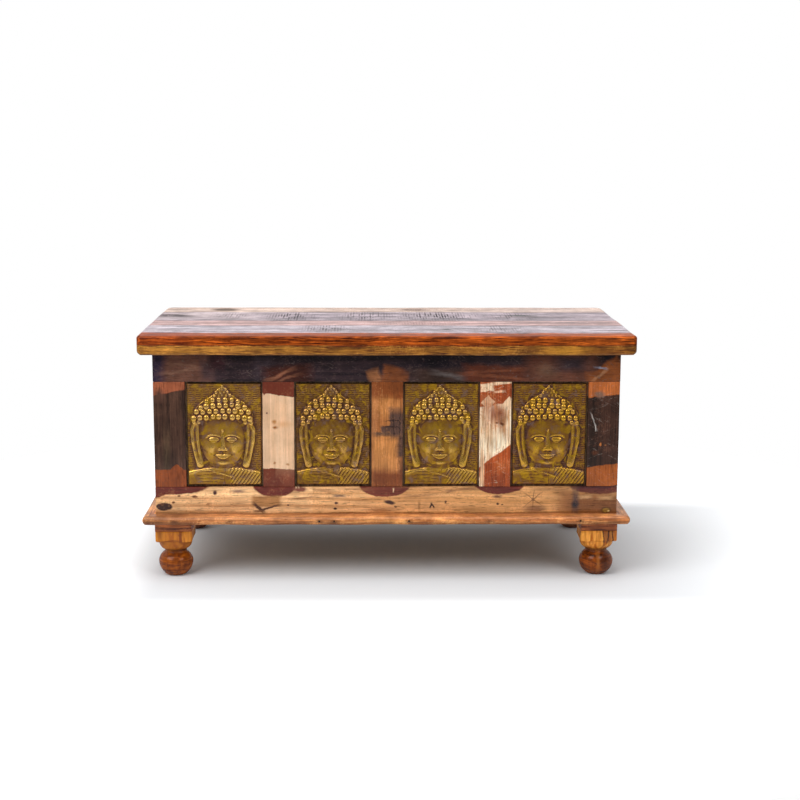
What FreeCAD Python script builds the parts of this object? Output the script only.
import FreeCAD, Part
import math
import os
from FreeCAD import Matrix, Rotation, Vector

# Accent chest: a storage trunk of reclaimed boards with a hinged plank lid.
# Four brass relief plates stand in the openings of the front frame, a base with
# a round nose runs under the case, and four feet turned from square stock carry it.
# Lengths are in millimetres. The front faces -Y, +Z is up, and the origin is on
# the floor at the middle of the footprint.

# Case: four frames of rails and stiles, the front and back ones over the side ones
case_width = 850.0
case_depth = 400.0
frame_thickness = 20.0
top_rail_height = 52.0
opening_height = 196.0
bottom_rail_height = 50.0
stile_width = 57.2
side_stile_width = 40.0
front_opening_count = 4
back_opening_count = 2
rebate_width = 8.0
panel_board_thickness = 10.0
side_board_count = 4
back_board_count = 3
tenon_length = 14.0
tenon_thickness = 7.0
tenon_shoulder = 3.0
tenon_inset = 2.0
glue_gap = 0.1
board_gap = 0.3
post_width = 26.0
post_drop = 6.0

# Lid: boards side by side over a frame of strips, with two battens across
lid_board_thickness = 17.0
lid_strip_thickness = 18.0
lid_strip_width = 62.0
lid_overhang = 25.0
lid_front_corner_radius = 9.0
lid_back_corner_radius = 17.0
lid_top_radius = 4.5
lid_bottom_radius = 8.0
lid_board_depth_shares = (0.12, 0.21, 0.17, 0.30, 0.20)
batten_width = 60.0
batten_offset = 150.0

# Base: nosed strips nailed round the foot of the case, floor boards on supports
base_thickness = 16.0
base_projection = 28.0
base_side_projection = 22.5
nail_radius = 1.5
nail_length = 42.0
front_nail_shares = (-0.915, -0.678, -0.292, -0.228, 0.094, 0.445, 0.835)
side_nail_shares = (-0.8, -0.25, 0.3, 0.85)
floor_board_thickness = 12.0
floor_board_count = 4
floor_support_height = 16.0
floor_support_width = 16.0
bearer_width = 50.0
bearer_offset = 135.0

# Feet: a square pad, a square head, turned shoulder, neck and flattened ball
foot_height = 88.5
foot_inset = 31.5
foot_pad_thickness = 17.8
foot_head_width = 67.0
foot_head_height = 20.2
foot_shoulder_height = 17.8
foot_shoulder_radius = 31.5
foot_neck_radius = 19.5
foot_ball_radius = 31.5
foot_ball_height = 47.0
foot_ball_waist_share = 0.53
foot_ball_top_radius = 23.0
foot_sole_radius = 15.5
foot_curve_share = 0.72
hanger_bolt_radius = 4.0
hanger_bolt_in_foot = 34.0
hanger_bolt_in_post = 46.0

# Relief plates: brass over a flat core, with a head in low relief
plate_side_gap = 3.5
plate_end_gap = 4.2
plate_recess = 3.0
relief_rise = 7.0
plate_edge_radius = 1.2

# Butt hinges at the back: three case knuckles, two lid knuckles and a pin each
hinge_length = 60.0
hinge_offset = 265.0
knuckle_count = 5
knuckle_radius = 3.6
knuckle_gap = 0.2
hinge_pin_radius = 1.8
hinge_pin_clearance = 0.05
hinge_pin_overlap = 1.0
leaf_thickness = 1.8
leaf_width = 17.0
leaf_clearance = 0.3
leaf_face_gap = 0.1
hinge_screw_shares = (-0.34, 0.0, 0.34)

# Countersunk wood screws of the hinges and stays
screw_radius = 1.5
screw_head_radius = 2.8
screw_head_height = 1.4
screw_length = 13.0
screw_clearance = 0.05

# Lid stays: a slotted arm hangs from the lid and slides over a stud in the case
lid_open_angle = 95.0
stay_reach = 150.0
stay_pivot_drop = 12.5
stay_stud_drop = 30.0
stay_arm_thickness = 2.5
stay_arm_half_width = 8.0
stay_arm_tip = 5.0
stay_stud_radius = 3.0
stay_slot_clearance = 0.15
stay_end_clearance = 0.3
stay_pivot_radius = 2.5
stay_pivot_clearance = 0.08
stay_head_thickness = 1.5
stay_head_extra = 2.5
stay_plate_thickness = 2.0
stay_plate_length = 44.0
stay_plate_height = 15.0
stay_gap = 0.5
stay_foot_length = 50.0
stay_screw_share = 0.34

# One overrun for every cutting tool
overrun = 1.0

# Levels and places that follow from the sizes above
front_reach = max(base_projection, lid_overhang)
overall_depth = front_reach + case_depth + lid_overhang
case_front = front_reach - overall_depth / 2
case_back = case_front + case_depth
case_side = case_width / 2
case_bottom = foot_height + foot_pad_thickness
base_top = case_bottom + base_thickness
opening_bottom = base_top + bottom_rail_height
opening_top = opening_bottom + opening_height
case_top = opening_top + top_rail_height
strip_top = case_top + lid_strip_thickness
lid_top = strip_top + lid_board_thickness
lid_front = case_front - lid_overhang
lid_back = case_back + lid_overhang
lid_side = case_side + lid_overhang
inner_side = case_side - frame_thickness
inner_front = case_front + frame_thickness
inner_back = case_back - frame_thickness
foot_x = case_side - foot_inset
foot_front_y = case_front + foot_inset
foot_back_y = case_back - foot_inset
floor_level = case_bottom + floor_support_height
hinge_axis_y = case_back + knuckle_radius + leaf_clearance
hinge_axis_z = case_top

SAVED = []


def save(name, shapes):
    """Writes one piece, or a group of equal pieces, to its own STEP file."""
    group = shapes if isinstance(shapes, list) else [shapes]
    solids = [solid for shape in group for solid in shape.Solids]
    for solid in solids:
        if not solid.isValid():
            print("not valid:", name)
    whole = solids[0] if len(solids) == 1 else Part.makeCompound(solids)
    whole.exportStep("parts/" + name + ".step")
    SAVED.append(name)


def box(x0, x1, y0, y1, z0, z1):
    """A block between two corners."""
    return Part.makeBox(x1 - x0, y1 - y0, z1 - z0, Vector(x0, y0, z0))


def rod(radius, start, end):
    """A round rod between two points."""
    along = end - start
    return Part.makeCylinder(radius, along.Length, start, along)


def cut_all(shape, tools):
    """The shape without any of the tools."""
    return shape.cut(tools) if tools else shape


def edges_where(shape, test):
    """The edges whose every point passes the test."""
    return [edge for edge in shape.Edges if all(test(v.Point) for v in edge.Vertexes)]


def near(a, b):
    """True where two lengths are the same but for rounding."""
    return abs(a - b) < overrun / 1000


# Frames of rails and stiles

def opening_spans(length, width, count):
    """The (left, right) edges of each opening in a frame of the length."""
    opening = (length - (count + 1) * width) / count
    lefts = [-length / 2 + width + k * (opening + width) for k in range(count)]
    return [(left, left + opening) for left in lefts]


def stile_centres(length, width, count):
    """The middle of each stile in a frame with that many openings."""
    pitch = (length - width) / count
    return [-length / 2 + width / 2 + k * pitch for k in range(count + 1)]


def frame_pockets(length, width, count):
    """The rebates in the back of a frame that its panel boards lie in."""
    back = frame_thickness - panel_board_thickness
    return [
        box(left - rebate_width, right + rebate_width, back, frame_thickness + overrun,
            opening_bottom - rebate_width, opening_top + rebate_width)
        for left, right in opening_spans(length, width, count)
    ]


def tenon_boxes(centre, width, gap):
    """The two tenons of a stile, or their mortises where there is a gap."""
    half = width / 2 - rebate_width - tenon_inset + gap
    front = tenon_shoulder - gap
    back = tenon_shoulder + tenon_thickness + gap
    reach = tenon_length + gap
    return [
        box(centre - half, centre + half, front, back, opening_bottom - reach, opening_bottom),
        box(centre - half, centre + half, front, back, opening_top, opening_top + reach),
    ]


def framed_wall(length, width, count):
    """Top rail, bottom rail and stiles of a frame whose outer face lies at y = 0."""
    half = length / 2
    pockets = frame_pockets(length, width, count)
    mortises = []
    stiles = []
    for centre in stile_centres(length, width, count):
        mortises += tenon_boxes(centre, width, glue_gap)
        blank = box(centre - width / 2, centre + width / 2, 0, frame_thickness,
                    opening_bottom, opening_top)
        blank = blank.fuse(tenon_boxes(centre, width, 0))
        stiles.append(cut_all(blank, pockets).removeSplitter())
    top = box(-half, half, 0, frame_thickness, opening_top, case_top)
    bottom = box(-half, half, 0, frame_thickness, case_bottom, opening_bottom)
    return cut_all(top, pockets + mortises), cut_all(bottom, pockets + mortises), stiles


def panel_boards(length, width, count, across, up):
    """Boards that fill the rebates of a frame, so many across and so many up."""
    front = frame_thickness - panel_board_thickness
    boards = []
    low = opening_bottom - rebate_width + glue_gap
    high = opening_top + rebate_width - glue_gap
    for left, right in opening_spans(length, width, count):
        x0 = left - rebate_width + glue_gap
        x1 = right + rebate_width - glue_gap
        step_x = (x1 - x0) / across
        step_z = (high - low) / up
        for i in range(across):
            for k in range(up):
                boards.append(box(
                    x0 + i * step_x + (board_gap if i else 0), x0 + (i + 1) * step_x,
                    front, frame_thickness,
                    low + k * step_z + (board_gap if k else 0), low + (k + 1) * step_z))
    return boards


def place(shapes, turn, x, y):
    """Copies of the shapes, turned about +Z and moved on the floor plan."""
    placement = FreeCAD.Placement(Vector(x, y, 0), Rotation(Vector(0, 0, 1), turn))
    placed = []
    for shape in shapes:
        copy = shape.copy()
        copy.transformShape(placement.toMatrix(), True)
        placed.append(copy)
    return placed


def build_front():
    """The front frame, its four backing boards and the relief plates."""
    top, bottom, stiles = framed_wall(case_width, stile_width, front_opening_count)
    top, bottom = place([top, bottom], 0, 0, case_front)
    bottom = cut_all(bottom, base_nails(glue_gap))
    stiles = place(stiles, 0, 0, case_front)
    boards = panel_boards(case_width, stile_width, front_opening_count, 1, 1)
    save("front_top_rail", top)
    save("front_bottom_rail", bottom)
    for number, stile in enumerate(stiles, start=1):
        save("front_stile_%d" % number, stile)
    save("front_backing_boards", place(boards, 0, 0, case_front))
    spans = opening_spans(case_width, stile_width, front_opening_count)
    for number, (left, right) in enumerate(spans, start=1):
        save("brass_plate_%d" % number, relief_plate(left, right))


def build_sides():
    """The two side frames, which stand between the front and back ones."""
    length = case_depth - 2 * frame_thickness
    middle = (case_front + case_back) / 2
    for side, turn, x in (("left", -90, -case_side), ("right", 90, case_side)):
        top, bottom, stiles = framed_wall(length, side_stile_width, 1)
        boards = panel_boards(length, side_stile_width, 1, side_board_count, 1)
        top, bottom = place([top, bottom], turn, x, middle)
        stiles = place(stiles, turn, x, middle)
        sign = 1 if side == "right" else -1
        top = cut_all(top, stay_plate_screws(sign, screw_clearance))
        bottom = cut_all(bottom, base_nails(glue_gap))
        save(side + "_top_rail", top)
        save(side + "_bottom_rail", bottom)
        save(side + "_stiles", stiles)
        save(side + "_panel_boards", place(boards, turn, x, middle))


def build_back():
    """The back frame, with the hinge leaves let into its top rail."""
    top, bottom, stiles = framed_wall(case_width, stile_width, back_opening_count)
    boards = panel_boards(case_width, stile_width, back_opening_count, 1, back_board_count)
    top, bottom = place([top, bottom], 180, 0, case_back)
    pockets = [leaf_pocket(x, -1) for x in hinge_places()]
    pockets += hinge_screws(-1, screw_clearance)
    save("back_top_rail", cut_all(top, pockets))
    save("back_bottom_rail", bottom)
    save("back_stiles", place(stiles, 180, 0, case_back))
    save("back_panel_boards", place(boards, 180, 0, case_back))


# Relief plates

# Across, up, half width and half height as shares of the plate, then the rise
relief_shares = (
    (0.0, -0.07, 0.30, 0.27, 1.0),
    (0.0, 0.17, 0.41, 0.19, 0.85),
    (0.0, 0.37, 0.15, 0.12, 0.75),
    (-0.35, -0.12, 0.065, 0.25, 0.55),
    (0.35, -0.12, 0.065, 0.25, 0.55),
    (0.0, -0.36, 0.19, 0.12, 0.50),
    (0.0, -0.53, 0.48, 0.17, 0.50),
)


def ellipsoid(centre, half_x, half_y, half_z):
    """A ball stretched to three half sizes."""
    ball = Part.makeSphere(1)
    stretch = Matrix()
    stretch.scale(half_x, half_y, half_z)
    stretch.move(centre)
    return ball.transformGeometry(stretch)


def relief_plate(left, right):
    """One plate: a flat core in its opening, with a head, ears and shoulders raised."""
    x0 = left + plate_side_gap
    x1 = right - plate_side_gap
    z0 = opening_bottom + plate_end_gap
    z1 = opening_top - plate_end_gap
    face = case_front + plate_recess
    back = case_front + frame_thickness - panel_board_thickness
    core = box(x0, x1, face, back, z0, z1)
    rim = edges_where(core, lambda p: near(p.y, face))
    core = core.makeFillet(plate_edge_radius, rim)
    width = x1 - x0
    height = z1 - z0
    middle = Vector((x0 + x1) / 2, face, (z0 + z1) / 2)
    room = box(x0 + plate_edge_radius, x1 - plate_edge_radius, face - relief_rise - overrun, back,
               z0 + plate_edge_radius, z1 - plate_edge_radius)
    forms = [
        ellipsoid(middle + Vector(across * width, 0, up * height),
                  half_w * width, rise * relief_rise, half_h * height).common(room)
        for across, up, half_w, half_h, rise in relief_shares
    ]
    return core.fuse(forms).removeSplitter()


# Case bottom

def nose_profile(projection):
    """Outline of a base strip: flat against the case, half round on the outside."""
    round_start = projection - base_thickness / 2
    low = Vector(0, round_start, case_bottom)
    tip = Vector(0, projection, case_bottom + base_thickness / 2)
    high = Vector(0, round_start, base_top)
    inner_high = Vector(0, 0, base_top)
    inner_low = Vector(0, 0, case_bottom)
    edges = [
        Part.LineSegment(inner_low, low).toShape(),
        Part.Arc(low, tip, high).toShape(),
        Part.LineSegment(high, inner_high).toShape(),
        Part.LineSegment(inner_high, inner_low).toShape(),
    ]
    return Part.Face(Part.Wire(edges))


def base_strip(length, projection):
    """A straight nosed strip centred on x, its case face at y = 0, nose towards +Y."""
    face = nose_profile(projection)
    face.translate(Vector(-length / 2, 0, 0))
    return face.extrude(Vector(length, 0, 0))


def mitre_wedge(x, y, sign):
    """The ground in front of a line from a front corner of the case to the base's corner."""
    run = case_width
    rise = run * base_projection / base_side_projection
    points = [
        Vector(x - sign * run, y + rise, 0),
        Vector(x - sign * run, y - rise, 0),
        Vector(x + sign * run, y - rise, 0),
        Vector(x - sign * run, y + rise, 0),
    ]
    ground = Part.Face(Part.makePolygon(points))
    return ground.extrude(Vector(0, 0, lid_top))


def base_nails(gap):
    """The nails through the front and side strips, or their holes where there is a gap."""
    radius = nail_radius + gap
    level = case_bottom + base_thickness / 2
    middle = (case_front + case_back) / 2
    nails = []
    for share in front_nail_shares:
        x = share * case_side
        head = Vector(x, case_front - base_projection, level)
        nails.append(rod(radius, head, head + Vector(0, nail_length + gap, 0)))
    for share in side_nail_shares:
        y = middle + share * case_depth / 2
        for sign in (-1, 1):
            head = Vector(sign * (case_side + base_side_projection), y, level)
            nails.append(rod(radius, head, head - Vector(sign * (nail_length + gap), 0, 0)))
    return nails


def build_base():
    """Nosed strips along the front and both sides, mitred at the front corners."""
    holes = base_nails(glue_gap)
    width = case_width + 2 * base_side_projection
    front = place([base_strip(width, base_projection)], 180, 0, case_front)[0]
    left_wedge = mitre_wedge(-case_side, case_front, -1)
    right_wedge = mitre_wedge(case_side, case_front, 1)
    front = front.common(left_wedge).common(right_wedge)
    save("base_front_strip", cut_all(front, holes))
    reach = width / 2
    room = box(-reach, reach, case_front - base_projection, case_back, 0, lid_top)
    side_length = 2 * (case_depth + base_projection)
    for side, sign, turn, wedge in (("left", -1, 90, left_wedge), ("right", 1, -90, right_wedge)):
        strip = base_strip(side_length, base_side_projection)
        strip = place([strip], turn, sign * case_side, case_back)[0]
        strip = strip.common(room).cut(wedge)
        save("base_%s_strip" % side, cut_all(strip, holes))
    save("base_nails", base_nails(0))


def foot_places():
    """The middle of each foot on the floor plan."""
    return [(x, y) for y in (foot_front_y, foot_back_y) for x in (-foot_x, foot_x)]


def post_boxes(gap, low, high):
    """The four corner posts of the case, or the room that they take."""
    spans_x = [sorted((sign * (inner_side + gap), sign * (inner_side - post_width - gap)))
               for sign in (-1, 1)]
    spans_y = [(inner_front - gap, inner_front + post_width + gap),
               (inner_back - post_width - gap, inner_back + gap)]
    return [box(x0, x1, y0, y1, low, high) for y0, y1 in spans_y for x0, x1 in spans_x]


def hanger_bolts(gap):
    """The four bolts that hold the feet, or their bores where there is a gap."""
    low = foot_height - hanger_bolt_in_foot - gap
    high = foot_height + hanger_bolt_in_post + gap
    return [rod(hanger_bolt_radius + gap, Vector(x, y, low), Vector(x, y, high))
            for x, y in foot_places()]


def build_floor():
    """Corner posts, the supports under the floor and the floor boards themselves."""
    bores = hanger_bolts(glue_gap)
    posts = post_boxes(0, case_bottom, case_top - post_drop)
    save("corner_posts", [cut_all(post, bores) for post in posts])
    start = inner_front + post_width
    end = inner_back - post_width
    rooms = [arm_room(-1), arm_room(1)]
    supports = []
    for sign in (-1, 1):
        x0, x1 = sorted((sign * inner_side, sign * (inner_side - floor_support_width)))
        supports.append(box(x0, x1, start, end, case_bottom, floor_level).cut(rooms))
    save("floor_ledgers", supports)
    bearers = [box(x - bearer_width / 2, x + bearer_width / 2, inner_front, inner_back,
                   case_bottom, floor_level) for x in (-bearer_offset, bearer_offset)]
    save("floor_bearers", bearers)
    notches = post_boxes(board_gap, 0, lid_top)
    step = (inner_back - inner_front) / floor_board_count
    boards = []
    for k in range(floor_board_count):
        y0 = inner_front + k * step + board_gap
        board = box(-inner_side + board_gap, inner_side - board_gap, y0, y0 + step - board_gap,
                    floor_level, floor_level + floor_board_thickness)
        if k in (0, floor_board_count - 1):
            board = cut_all(board, notches)
        boards.append(board.cut(rooms))
    save("floor_boards", boards)


# Feet

def foot_profile():
    """Turned outline of a foot from the floor up, as a face on one side of the axis."""
    corner = foot_head_width / 2 * math.sqrt(2) + overrun
    head_bottom = foot_height - foot_head_height
    shoulder_bottom = head_bottom - foot_shoulder_height
    shoulder_reach = foot_shoulder_radius - foot_neck_radius
    waist_height = foot_ball_waist_share * foot_ball_height
    low_reach = foot_ball_radius - foot_sole_radius
    high_reach = foot_ball_radius - foot_ball_top_radius
    high_rise = foot_ball_height - waist_height
    sole = Vector(foot_sole_radius, 0, 0)
    low_curve = Vector(foot_sole_radius + foot_curve_share * low_reach, 0,
                       (1 - foot_curve_share) * 2 * waist_height)
    waist = Vector(foot_ball_radius, 0, waist_height)
    high_curve = Vector(foot_ball_radius - (1 - foot_curve_share) * high_reach, 0,
                        waist_height + high_rise / 2)
    ball_top = Vector(foot_ball_top_radius, 0, foot_ball_height)
    neck_bottom = Vector(foot_neck_radius, 0, foot_ball_height)
    neck_top = Vector(foot_neck_radius, 0, shoulder_bottom)
    shoulder_curve = Vector(foot_neck_radius + foot_curve_share * shoulder_reach, 0,
                            shoulder_bottom + (1 - foot_curve_share) * foot_shoulder_height)
    shoulder_top = Vector(foot_shoulder_radius, 0, head_bottom)
    corner_bottom = Vector(corner, 0, head_bottom)
    corner_top = Vector(corner, 0, foot_height)
    edges = [
        Part.LineSegment(Vector(0, 0, 0), sole).toShape(),
        Part.Arc(sole, low_curve, waist).toShape(),
        Part.Arc(waist, high_curve, ball_top).toShape(),
        Part.LineSegment(ball_top, neck_bottom).toShape(),
        Part.LineSegment(neck_bottom, neck_top).toShape(),
        Part.Arc(neck_top, shoulder_curve, shoulder_top).toShape(),
        Part.LineSegment(shoulder_top, corner_bottom).toShape(),
        Part.LineSegment(corner_bottom, corner_top).toShape(),
        Part.LineSegment(corner_top, Vector(0, 0, foot_height)).toShape(),
        Part.LineSegment(Vector(0, 0, foot_height), Vector(0, 0, 0)).toShape(),
    ]
    return Part.Face(Part.Wire(edges))


def build_feet():
    """Feet turned from square stock below square pads, each on its hanger bolt."""
    half = foot_head_width / 2
    turned = foot_profile().revolve(Vector(0, 0, 0), Vector(0, 0, 1), 360)
    foot = turned.common(box(-half, half, -half, half, 0, foot_height))
    bores = hanger_bolts(glue_gap)
    names = ("foot_front_left", "foot_front_right", "foot_back_left", "foot_back_right")
    pads = []
    for name, (x, y) in zip(names, foot_places()):
        save(name, cut_all(place([foot], 0, x, y)[0], bores))
        pad = box(x - half, x + half, y - half, y + half, foot_height, case_bottom)
        pads.append(cut_all(pad, bores))
    save("foot_pads", pads)
    save("foot_hanger_bolts", hanger_bolts(0))


# Lid

def lid_slab(z0, z1):
    """A slab of the lid's plan with its upright corners rounded."""
    slab = box(-lid_side, lid_side, lid_front, lid_back, z0, z1)
    upright = [e for e in slab.Edges if not near(e.Vertexes[0].Z, e.Vertexes[1].Z)]
    front = [e for e in upright if near(e.Vertexes[0].Y, lid_front)]
    slab = slab.makeFillet(lid_front_corner_radius, front)
    back = [e for e in slab.Edges if near(e.BoundBox.XLength, 0)
            and near(e.BoundBox.YMin, lid_back)]
    return slab.makeFillet(lid_back_corner_radius, back)


def build_lid():
    """Top boards cut from one rounded slab, and the frame of strips below them."""
    slab = lid_slab(strip_top, lid_top)
    slab = slab.makeFillet(lid_top_radius, edges_where(slab, lambda p: near(p.z, lid_top)))
    depth = lid_back - lid_front
    start = lid_front
    for number, share in enumerate(lid_board_depth_shares, start=1):
        end = start + share * depth
        cell = box(-lid_side, lid_side, start, end, strip_top, lid_top)
        save("lid_board_%d" % number, slab.common(cell))
        start = end

    ring = lid_slab(case_top, strip_top)
    ring = ring.makeFillet(lid_bottom_radius, edges_where(ring, lambda p: near(p.z, case_top)))
    inner = lid_side - lid_strip_width
    front_edge = lid_front + lid_strip_width
    back_edge = lid_back - lid_strip_width
    front = ring.common(box(-lid_side, lid_side, lid_front, front_edge, case_top, strip_top))
    save("lid_front_strip", front)
    back = ring.common(box(-lid_side, lid_side, back_edge, lid_back, case_top, strip_top))
    pockets = [leaf_pocket(x, 1) for x in hinge_places()]
    pockets += [knuckle_pocket(x) for x in hinge_places()]
    pockets += hinge_screws(1, screw_clearance)
    save("lid_back_strip", cut_all(back, pockets))
    for side, sign in (("left", -1), ("right", 1)):
        x0, x1 = sorted((sign * inner, sign * lid_side))
        strip = ring.common(box(x0, x1, front_edge, back_edge, case_top, strip_top))
        strip = cut_all(strip, stay_foot_screws(sign, screw_clearance))
        save("lid_%s_strip" % side, strip)
    battens = [box(x - batten_width / 2, x + batten_width / 2, front_edge, back_edge,
                   case_top, strip_top) for x in (-batten_offset, batten_offset)]
    save("lid_battens", battens)


# Screws, hinges and stays

def screw(tip, head, gap):
    """A countersunk screw with its flat head face at head, or its hole."""
    along = (tip - head).normalize()
    neck = head + along * screw_head_height
    cone = Part.makeCone(screw_head_radius + gap, screw_radius + gap,
                         screw_head_height, head, along)
    shank = rod(screw_radius + gap, neck - along * gap, tip + along * gap)
    return cone.fuse(shank)


def hinge_places():
    """The middle of each hinge along the back."""
    return (-hinge_offset, hinge_offset)


def leaf_plane(sign):
    """Low and high z of a leaf: below the joint for the case, above it for the lid."""
    inner = hinge_axis_z + sign * leaf_face_gap
    outer = inner + sign * leaf_thickness
    return min(inner, outer), max(inner, outer)


def leaf_pocket(x, sign):
    """The recess that a leaf is let into."""
    low, high = leaf_plane(sign)
    front = hinge_axis_y - knuckle_radius - leaf_clearance - leaf_width - glue_gap
    half = hinge_length / 2 + glue_gap
    low, high = (low - glue_gap, case_top + overrun) if sign < 0 else \
        (case_top - overrun, high + glue_gap)
    return box(x - half, x + half, front, case_back + overrun, low, high)


def knuckle_pocket(x):
    """The room in the overhang of the lid that a hinge's barrel turns in."""
    half = hinge_length / 2 + hinge_pin_overlap + leaf_clearance
    reach = knuckle_radius + leaf_clearance
    return box(x - half, x + half, case_back - overrun, hinge_axis_y + reach,
               case_top - overrun, case_top + reach)


def hinge_screws(sign, gap):
    """The screws through the leaves of one side."""
    y = case_back - leaf_width / 2
    head_z = hinge_axis_z + sign * leaf_face_gap
    return [screw(Vector(x + share * hinge_length, y, head_z + sign * screw_length),
                  Vector(x + share * hinge_length, y, head_z), gap)
            for x in hinge_places() for share in hinge_screw_shares]


def hinge_leaf(x, sign):
    """A leaf and its knuckles: the case leaf has the odd ones, the lid leaf the others."""
    low, high = leaf_plane(sign)
    start = x - hinge_length / 2
    step = hinge_length / knuckle_count
    edge = hinge_axis_y - knuckle_radius - leaf_clearance
    leaf = box(start, start + hinge_length, edge - leaf_width, edge, low, high)
    first = 0 if sign < 0 else 1
    for k in range(first, knuckle_count, 2):
        a = start + k * step + (knuckle_gap / 2 if k else 0)
        b = start + (k + 1) * step - (knuckle_gap / 2 if k < knuckle_count - 1 else 0)
        knuckle = rod(knuckle_radius, Vector(a, hinge_axis_y, hinge_axis_z),
                      Vector(b, hinge_axis_y, hinge_axis_z))
        bridge = box(a, b, edge - overrun, hinge_axis_y, low, high)
        leaf = leaf.fuse([knuckle, bridge])
    bore = rod(hinge_pin_radius + hinge_pin_clearance,
               Vector(start - overrun, hinge_axis_y, hinge_axis_z),
               Vector(start + hinge_length + overrun, hinge_axis_y, hinge_axis_z))
    return cut_all(leaf, [bore] + hinge_screws(sign, screw_clearance)).removeSplitter()


def build_hinges():
    """Two butt hinges, each with a case leaf, a lid leaf, a pin and six screws."""
    save("hinge_case_leaves", [hinge_leaf(x, -1) for x in hinge_places()])
    save("hinge_lid_leaves", [hinge_leaf(x, 1) for x in hinge_places()])
    reach = hinge_length / 2 + hinge_pin_overlap
    save("hinge_pins", [rod(hinge_pin_radius, Vector(x - reach, hinge_axis_y, hinge_axis_z),
                            Vector(x + reach, hinge_axis_y, hinge_axis_z))
                        for x in hinge_places()])
    save("hinge_case_screws", hinge_screws(-1, 0))
    save("hinge_lid_screws", hinge_screws(1, 0))


# The pivot on the lid and the stud in the case are equally far from the hinge
# axis, so the arm turns half as far as the lid and its slot always meets the stud.
pivot_angle = math.asin(stay_pivot_drop / stay_reach)
stud_angle = math.asin(stay_stud_drop / stay_reach)
pivot_y = hinge_axis_y - stay_reach * math.cos(pivot_angle)
pivot_z = hinge_axis_z - stay_pivot_drop
stud_y = hinge_axis_y - stay_reach * math.cos(stud_angle)
stud_z = hinge_axis_z - stay_stud_drop
closed_span = stud_angle - pivot_angle
open_span = closed_span + math.radians(lid_open_angle)
slot_start = 2 * stay_reach * math.sin(closed_span / 2) - stay_end_clearance
slot_end = 2 * stay_reach * math.sin(open_span / 2) + stay_end_clearance
arm_tilt = (pivot_angle + stud_angle) / 2
lug_outer = inner_side - stay_plate_thickness - stay_gap
arm_outer = lug_outer - stay_plate_thickness - stay_gap
arm_inner = arm_outer - stay_arm_thickness
head_outer = arm_inner - stay_gap
head_inner = head_outer - stay_head_thickness


def arm_room(sign):
    """The room that the low end of a hanging arm takes, up from its tip, and swings through."""
    hang = slot_end + stay_arm_tip
    tip_y = pivot_y + hang * math.sin(arm_tilt)
    half = stay_arm_half_width + stay_gap
    tip_z = pivot_z - hang * math.cos(arm_tilt) - half
    swing = max(0, floor_level + floor_board_thickness - tip_z)
    x0, x1 = sorted((sign * (arm_inner - stay_gap), sign * (arm_outer + stay_gap)))
    return box(x0, x1, tip_y - half - swing, tip_y + half, tip_z, case_top)


def stay_plate_screws(sign, gap):
    """The screws of the stud plate, driven out into the side's top rail."""
    head_x = sign * (inner_side - stay_plate_thickness)
    tip_x = head_x + sign * screw_length
    offset = stay_screw_share * stay_plate_length
    return [screw(Vector(tip_x, y, stud_z), Vector(head_x, y, stud_z), gap)
            for y in (stud_y - offset, stud_y + offset)]


def stay_foot_screws(sign, gap):
    """The screws of the lid bracket, driven up into the side strip of the lid."""
    x = sign * (lug_outer + lid_side - lid_strip_width - stay_plate_thickness) / 2
    head_z = case_top - stay_plate_thickness
    offset = stay_screw_share * stay_foot_length
    return [screw(Vector(x, y, head_z + screw_length), Vector(x, y, head_z), gap)
            for y in (pivot_y - offset, pivot_y + offset)]


def stud_plate(sign):
    """The plate on the side's top rail, with the stud that the arm slides over."""
    x0, x1 = sorted((sign * (inner_side - stay_plate_thickness), sign * inner_side))
    plate = box(x0, x1, stud_y - stay_plate_length / 2, stud_y + stay_plate_length / 2,
                stud_z - stay_plate_height / 2, stud_z + stay_plate_height / 2)
    root = Vector(sign * (inner_side - stay_plate_thickness / 2), stud_y, stud_z)
    shoulder = Vector(sign * head_outer, stud_y, stud_z)
    end = Vector(sign * head_inner, stud_y, stud_z)
    stud = rod(stay_stud_radius, root, end)
    head = rod(stay_stud_radius + stay_head_extra, shoulder, end)
    return cut_all(plate.fuse([stud, head]), stay_plate_screws(sign, screw_clearance))


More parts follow.
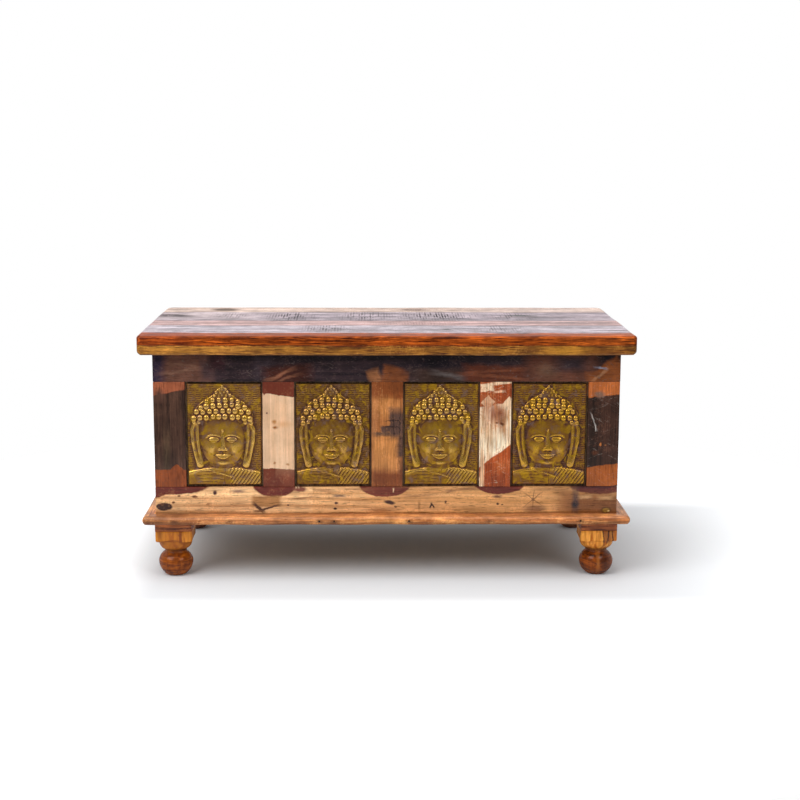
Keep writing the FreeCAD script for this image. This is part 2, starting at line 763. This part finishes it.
def lid_bracket(sign):
    """The bracket under the lid: a foot, a hanging lug and the arm's rivet."""
    inner = lid_side - lid_strip_width
    x0, x1 = sorted((sign * inner, sign * lug_outer))
    foot = box(x0, x1, pivot_y - stay_foot_length / 2, pivot_y + stay_foot_length / 2,
               case_top - stay_plate_thickness, case_top)
    a = Vector(sign * lug_outer, pivot_y, pivot_z)
    b = Vector(sign * (lug_outer - stay_plate_thickness), pivot_y, pivot_z)
    lug = rod(stay_arm_half_width, a, b)
    x0, x1 = sorted((a.x, b.x))
    tab = box(x0, x1, pivot_y - stay_arm_half_width, pivot_y + stay_arm_half_width,
              pivot_z, case_top)
    shoulder = Vector(sign * head_outer, pivot_y, pivot_z)
    end = Vector(sign * head_inner, pivot_y, pivot_z)
    rivet = rod(stay_pivot_radius, a, end)
    head = rod(stay_pivot_radius + stay_head_extra, shoulder, end)
    bracket = foot.fuse([lug, tab, rivet, head])
    return cut_all(bracket, stay_foot_screws(sign, screw_clearance)).removeSplitter()


def capsule(radius, start, end, x0, x1):
    """A flat bar with round ends between two distances along the hanging arm."""
    low, high = sorted((x0, x1))
    bar = box(low, high, -radius, radius, -end, -start)
    ends = [rod(radius, Vector(low, 0, -s), Vector(high, 0, -s)) for s in (start, end)]
    return bar.fuse(ends).removeSplitter()


def stay_arm(sign):
    """The slotted arm, hanging from its rivet as it does in the closed chest."""
    x0 = sign * arm_outer
    x1 = sign * arm_inner
    slot_radius = stay_stud_radius + stay_slot_clearance
    arm = capsule(stay_arm_half_width, 0, slot_end + stay_arm_tip, x0, x1)
    slot = capsule(slot_radius, slot_start, slot_end, x0 + sign * overrun, x1 - sign * overrun)
    hole = rod(stay_pivot_radius + stay_pivot_clearance,
               Vector(x0 + sign * overrun, 0, 0), Vector(x1 - sign * overrun, 0, 0))
    arm = cut_all(arm, [slot, hole])
    arm.rotate(Vector(0, 0, 0), Vector(1, 0, 0), math.degrees(arm_tilt))
    arm.translate(Vector(0, pivot_y, pivot_z))
    return arm


def build_stays():
    """One stay at each end of the lid."""
    save("stay_arm_left", stay_arm(-1))
    save("stay_arm_right", stay_arm(1))
    save("stay_lid_brackets", [lid_bracket(-1), lid_bracket(1)])
    save("stay_stud_plates", [stud_plate(-1), stud_plate(1)])
    save("stay_case_screws", stay_plate_screws(-1, 0) + stay_plate_screws(1, 0))
    save("stay_lid_screws", stay_foot_screws(-1, 0) + stay_foot_screws(1, 0))


os.makedirs("parts", exist_ok=True)
build_front()
build_sides()
build_back()
build_base()
build_floor()
build_feet()
build_lid()
build_hinges()
build_stays()
print(len(SAVED), "pieces; lid top at", lid_top, "mm, overall depth", overall_depth)
print("hinge axis y, z:", hinge_axis_y, hinge_axis_z)
print("stay pivot y, z:", pivot_y, pivot_z, "stud y, z:", stud_y, stud_z)
